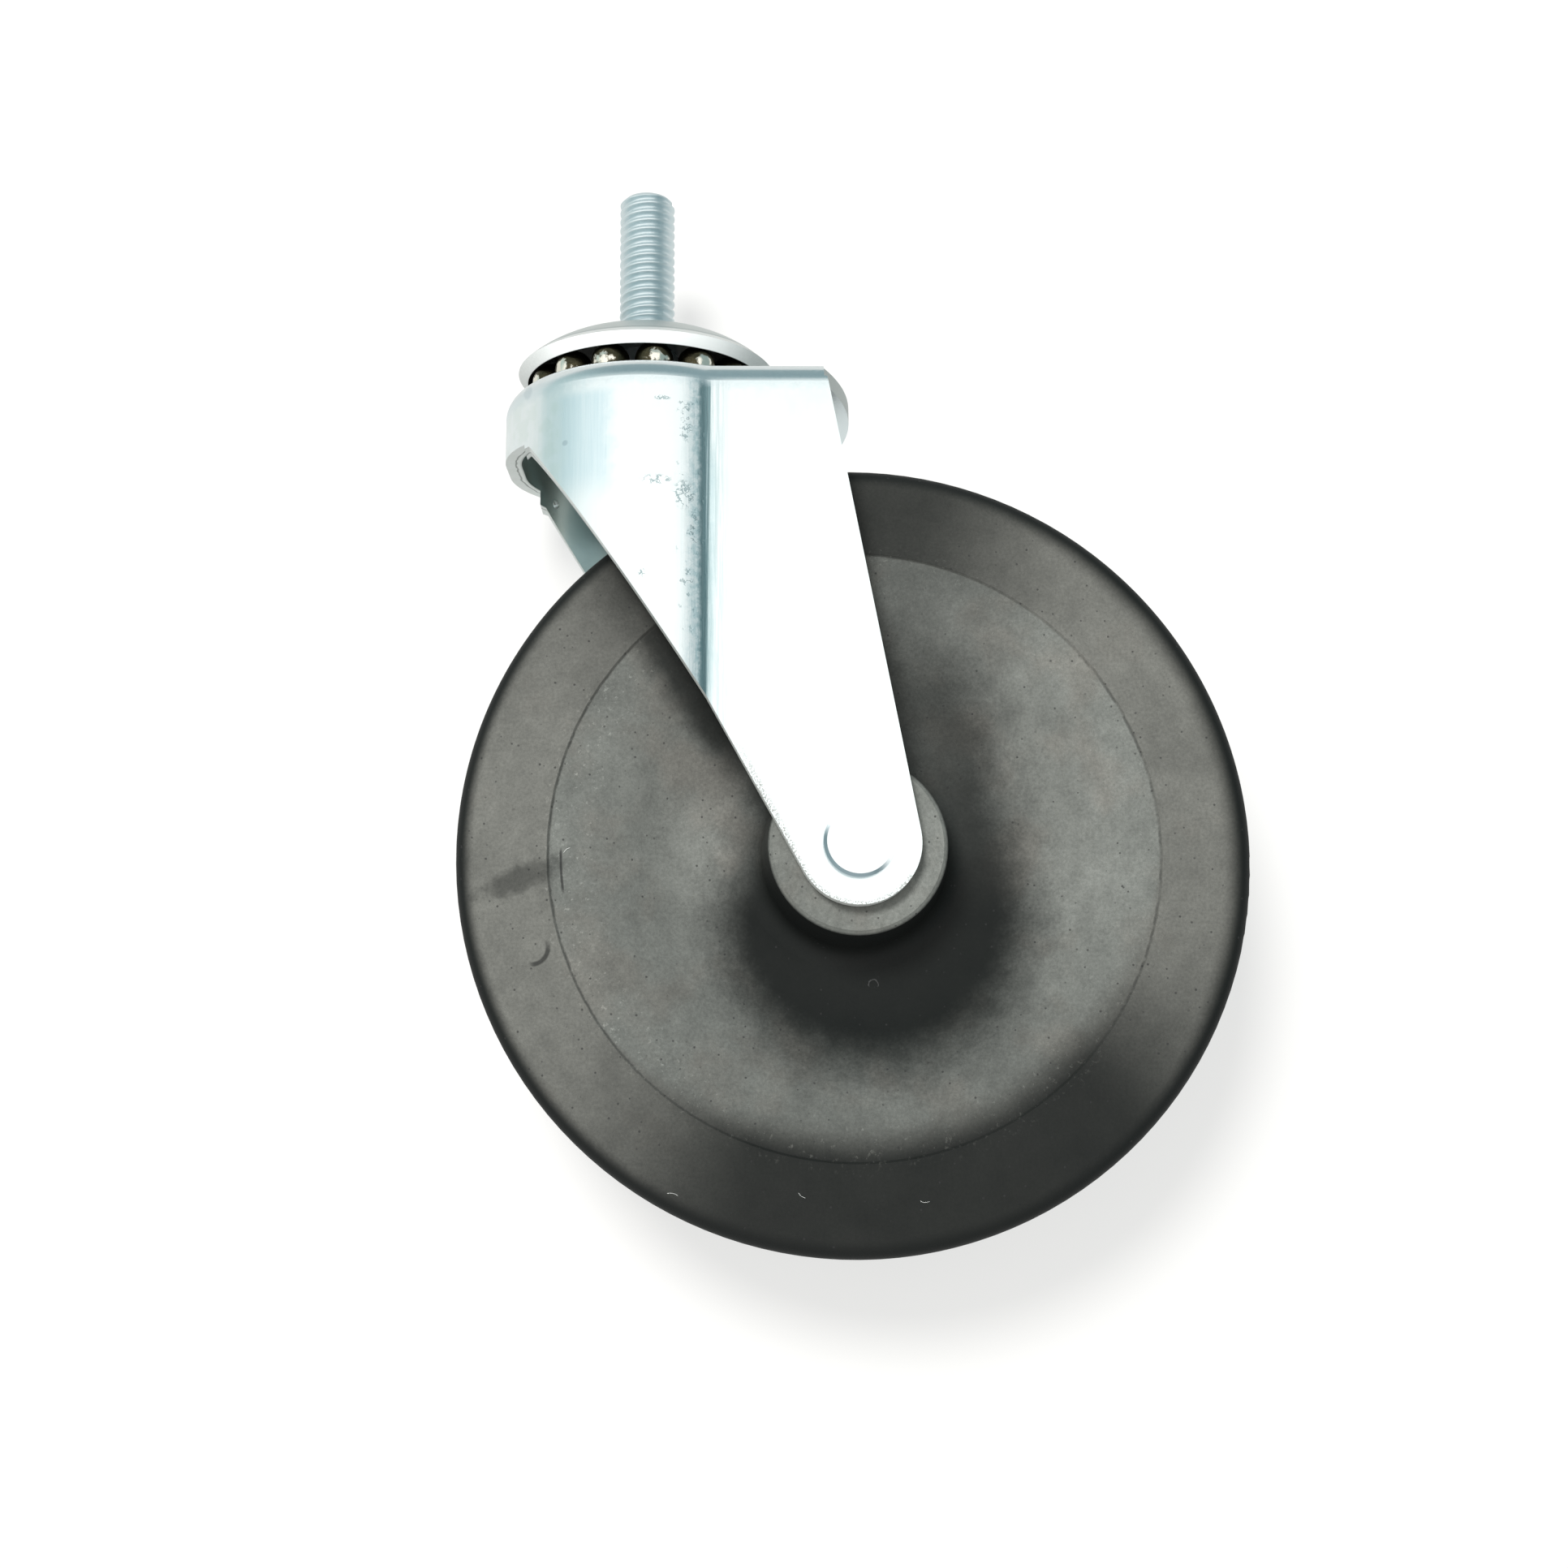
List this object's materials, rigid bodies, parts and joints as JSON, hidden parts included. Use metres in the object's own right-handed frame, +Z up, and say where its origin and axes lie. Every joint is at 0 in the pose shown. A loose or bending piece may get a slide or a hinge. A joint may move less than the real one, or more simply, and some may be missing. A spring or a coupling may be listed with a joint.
{
  "type": "swivel caster",
  "caption": "Swivel caster with a threaded stem, a domed ball-bearing cap over a pressed fork, and a dished hard rubber wheel on a riveted axle.",
  "frame": {"origin": "on the swivel axis, at the top of the stem's collar, where the thread begins", "axes": "+Z up along the threaded stem, +X towards the trailing wheel, Y along the wheel's axle"},
  "size_m": [0.1274, 0.0554, 0.1812],
  "materials": {
    "zinc_stem": "bluish zinc plate on a rolled thread",
    "zinc_cap": "dull zinc plate",
    "zinc_sheet": "bright zinc plate with draw lines",
    "zinc_axle": "bright zinc plate, turned face",
    "steel_tube": "plain drawn steel",
    "bearing_steel": "polished, greasy",
    "hard_rubber": "matt, mottled mould finish"
  },
  "bodies": {
    "mount": {"stem": "zinc_stem", "top_cap": "zinc_cap", "lower_race": "zinc_cap"},
    "upper_balls": {"upper_ball_01": "bearing_steel", "upper_ball_02": "bearing_steel", "upper_ball_03": "bearing_steel", "upper_ball_04": "bearing_steel", "upper_ball_05": "bearing_steel", "upper_ball_06": "bearing_steel", "upper_ball_07": "bearing_steel", "upper_ball_08": "bearing_steel", "upper_ball_09": "bearing_steel", "upper_ball_10": "bearing_steel", "upper_ball_11": "bearing_steel", "upper_ball_12": "bearing_steel", "upper_ball_13": "bearing_steel", "upper_ball_14": "bearing_steel", "upper_ball_15": "bearing_steel"},
    "lower_balls": {"lower_ball_01": "bearing_steel", "lower_ball_02": "bearing_steel", "lower_ball_03": "bearing_steel", "lower_ball_04": "bearing_steel", "lower_ball_05": "bearing_steel", "lower_ball_06": "bearing_steel", "lower_ball_07": "bearing_steel", "lower_ball_08": "bearing_steel", "lower_ball_09": "bearing_steel", "lower_ball_10": "bearing_steel", "lower_ball_11": "bearing_steel", "lower_ball_12": "bearing_steel"},
    "swivel_fork": {"fork": "zinc_sheet", "axle": "zinc_axle", "axle_sleeve": "steel_tube"},
    "rolling_wheel": {"wheel": "hard_rubber"}
  },
  "joints": [
    {"name": "swivel", "type": "hinge", "parent": "mount", "child": "swivel_fork", "pos_m": [0, 0, -0.014], "axis": [0, 0, 1], "continuous": true},
    {"name": "wheel_spin", "type": "hinge", "parent": "swivel_fork", "child": "rolling_wheel", "pos_m": [0.034, 0, -0.0921], "axis": [0, 1, 0], "continuous": true},
    {"name": "upper_ball_orbit", "type": "hinge", "parent": "mount", "child": "upper_balls", "pos_m": [0, 0, -0.01125], "axis": [0, 0, 1], "continuous": true},
    {"name": "lower_ball_orbit", "type": "hinge", "parent": "mount", "child": "lower_balls", "pos_m": [0, 0, -0.0173], "axis": [0, 0, 1], "continuous": true}
  ],
  "couplings": [
    {"joint": "upper_ball_orbit", "follows": "swivel", "ratio": 0.436},
    {"joint": "lower_ball_orbit", "follows": "swivel", "ratio": 0.578}
  ]
}
